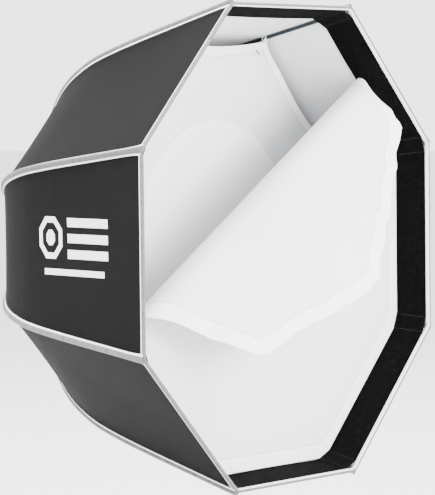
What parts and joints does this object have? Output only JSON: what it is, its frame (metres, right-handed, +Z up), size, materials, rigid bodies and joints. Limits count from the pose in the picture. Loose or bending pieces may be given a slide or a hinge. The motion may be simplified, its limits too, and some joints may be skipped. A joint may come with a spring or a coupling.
{
  "type": "octagonal studio softbox",
  "caption": "Octagonal softbox with curved hinged ribs on a rotating speed ring, black shell, lip band, inner baffle and a half-peeled front diffuser.",
  "frame": {"origin": "centre of the adapter's back seating face, on the box's axis", "axes": "+Z up, the box's axis along Y, open front towards -Y"},
  "size_m": [0.6006, 0.4674, 0.6006],
  "materials": {
    "shell_fabric": "black woven polyester, light sheen",
    "loop_band": "black brushed loop tape, matte",
    "baffle_cloth": "white translucent diffusion cloth",
    "diffuser_cloth": "white translucent diffusion cloth",
    "rod_steel": "spring steel rod, blackened",
    "pin_steel": "plain steel, satin",
    "knuckle_metal": "black, semi-matte",
    "tip_leather": "black reinforcement patch",
    "hub_metal": "black anodised look, semi-matte",
    "adapter_metal": "machined, satin",
    "knob_plastic": "black moulded plastic",
    "binding_tape": "grey woven edge tape with white edges"
  },
  "bodies": {
    "adapter": {"adapter_ring": "adapter_metal", "retainer_ring": "pin_steel"},
    "speed_ring": {"speed_ring": "hub_metal", "cover_ring": "knob_plastic", "hinge_pin_1": "pin_steel", "hinge_pin_2": "pin_steel", "hinge_pin_3": "pin_steel", "hinge_pin_4": "pin_steel", "hinge_pin_5": "pin_steel", "hinge_pin_6": "pin_steel", "hinge_pin_7": "pin_steel", "hinge_pin_8": "pin_steel", "inner_baffle": "baffle_cloth", "baffle_patch": "baffle_cloth"},
    "lock": {"lock_screw": "pin_steel", "lock_knob": "knob_plastic"},
    "diffuser": {"diffuser_panel": "diffuser_cloth"},
    "flap": {"diffuser_flap": "diffuser_cloth"},
    "rib_1": {"shell_gore_1": "shell_fabric", "lip_band_1": "loop_band", "rod_1": "rod_steel", "knuckle_1": "knuckle_metal", "tip_pocket_1": "tip_leather"},
    "rib_2": {"shell_gore_2": "shell_fabric", "lip_band_2": "loop_band", "rod_2": "rod_steel", "knuckle_2": "knuckle_metal", "tip_pocket_2": "tip_leather"},
    "rib_3": {"shell_gore_3": "shell_fabric", "lip_band_3": "loop_band", "rod_3": "rod_steel", "knuckle_3": "knuckle_metal", "tip_pocket_3": "tip_leather"},
    "rib_4": {"shell_gore_4": "shell_fabric", "lip_band_4": "loop_band", "rod_4": "rod_steel", "knuckle_4": "knuckle_metal", "tip_pocket_4": "tip_leather"},
    "rib_5": {"shell_gore_5": "shell_fabric", "lip_band_5": "loop_band", "rod_5": "rod_steel", "knuckle_5": "knuckle_metal", "tip_pocket_5": "tip_leather"},
    "rib_6": {"shell_gore_6": "shell_fabric", "lip_band_6": "loop_band", "rod_6": "rod_steel", "knuckle_6": "knuckle_metal", "tip_pocket_6": "tip_leather"},
    "rib_7": {"shell_gore_7": "shell_fabric", "lip_band_7": "loop_band", "rod_7": "rod_steel", "knuckle_7": "knuckle_metal", "tip_pocket_7": "tip_leather"},
    "rib_8": {"shell_gore_8": "shell_fabric", "lip_band_8": "loop_band", "rod_8": "rod_steel", "knuckle_8": "knuckle_metal", "tip_pocket_8": "tip_leather"}
  },
  "joints": [
    {"name": "ring_spin", "type": "hinge", "parent": "adapter", "child": "speed_ring", "pos_m": [0, 0, 0], "axis": [0, 1, 0], "continuous": true},
    {"name": "lock_turn", "type": "hinge", "parent": "speed_ring", "child": "lock", "pos_m": [0, -0.017, 0], "axis": [0, 0, -1], "continuous": true},
    {"name": "rib_1_fold", "type": "hinge", "parent": "speed_ring", "child": "rib_1", "pos_m": [0.07853, -0.0255, 0.03253], "axis": [0.3827, 0, -0.9239], "range_deg": [0, 30], "deforming": ["shell_gore_1", "lip_band_1", "inner_baffle", "baffle_patch", "diffuser_panel", "diffuser_flap"]},
    {"name": "rib_2_fold", "type": "hinge", "parent": "speed_ring", "child": "rib_2", "pos_m": [0.03253, -0.0255, 0.07853], "axis": [0.9239, 0, -0.3827], "range_deg": [0, 30], "deforming": ["shell_gore_2", "lip_band_2"]},
    {"name": "rib_3_fold", "type": "hinge", "parent": "speed_ring", "child": "rib_3", "pos_m": [-0.03253, -0.0255, 0.07853], "axis": [0.9239, 0, 0.3827], "range_deg": [0, 30], "deforming": ["shell_gore_3", "lip_band_3"]},
    {"name": "rib_4_fold", "type": "hinge", "parent": "speed_ring", "child": "rib_4", "pos_m": [-0.07853, -0.0255, 0.03253], "axis": [0.3827, 0, 0.9239], "range_deg": [0, 30], "deforming": ["shell_gore_4", "lip_band_4"]},
    {"name": "rib_5_fold", "type": "hinge", "parent": "speed_ring", "child": "rib_5", "pos_m": [-0.07853, -0.0255, -0.03253], "axis": [-0.3827, 0, 0.9239], "range_deg": [0, 30], "deforming": ["shell_gore_5", "lip_band_5"]},
    {"name": "rib_6_fold", "type": "hinge", "parent": "speed_ring", "child": "rib_6", "pos_m": [-0.03253, -0.0255, -0.07853], "axis": [-0.9239, 0, 0.3827], "range_deg": [0, 30], "deforming": ["shell_gore_6", "lip_band_6"]},
    {"name": "rib_7_fold", "type": "hinge", "parent": "speed_ring", "child": "rib_7", "pos_m": [0.03253, -0.0255, -0.07853], "axis": [-0.9239, 0, -0.3827], "range_deg": [0, 30], "deforming": ["shell_gore_7", "lip_band_7"]},
    {"name": "rib_8_fold", "type": "hinge", "parent": "speed_ring", "child": "rib_8", "pos_m": [0.07853, -0.0255, -0.03253], "axis": [-0.3827, 0, -0.9239], "range_deg": [0, 30], "deforming": ["shell_gore_8", "lip_band_8"]},
    {"name": "diffuser_pull", "type": "slide", "parent": "speed_ring", "child": "diffuser", "axis": [0, -1, 0], "range_m": [0, 0.345]},
    {"name": "flap_fold", "type": "hinge", "parent": "diffuser", "child": "flap", "pos_m": [-0.04814, -0.3733, 0.07887], "axis": [-0.8536, 0, -0.521], "range_deg": [-5, 161]}
  ],
  "couplings": [
    {"joint": "rib_2_fold", "follows": "rib_1_fold", "ratio": 1},
    {"joint": "rib_3_fold", "follows": "rib_1_fold", "ratio": 1},
    {"joint": "rib_4_fold", "follows": "rib_1_fold", "ratio": 1},
    {"joint": "rib_5_fold", "follows": "rib_1_fold", "ratio": 1},
    {"joint": "rib_6_fold", "follows": "rib_1_fold", "ratio": 1},
    {"joint": "rib_7_fold", "follows": "rib_1_fold", "ratio": 1},
    {"joint": "rib_8_fold", "follows": "rib_1_fold", "ratio": 1},
    {"joint": "diffuser_pull", "follows": "rib_1_fold", "m_per_rad": 0.65}
  ]
}
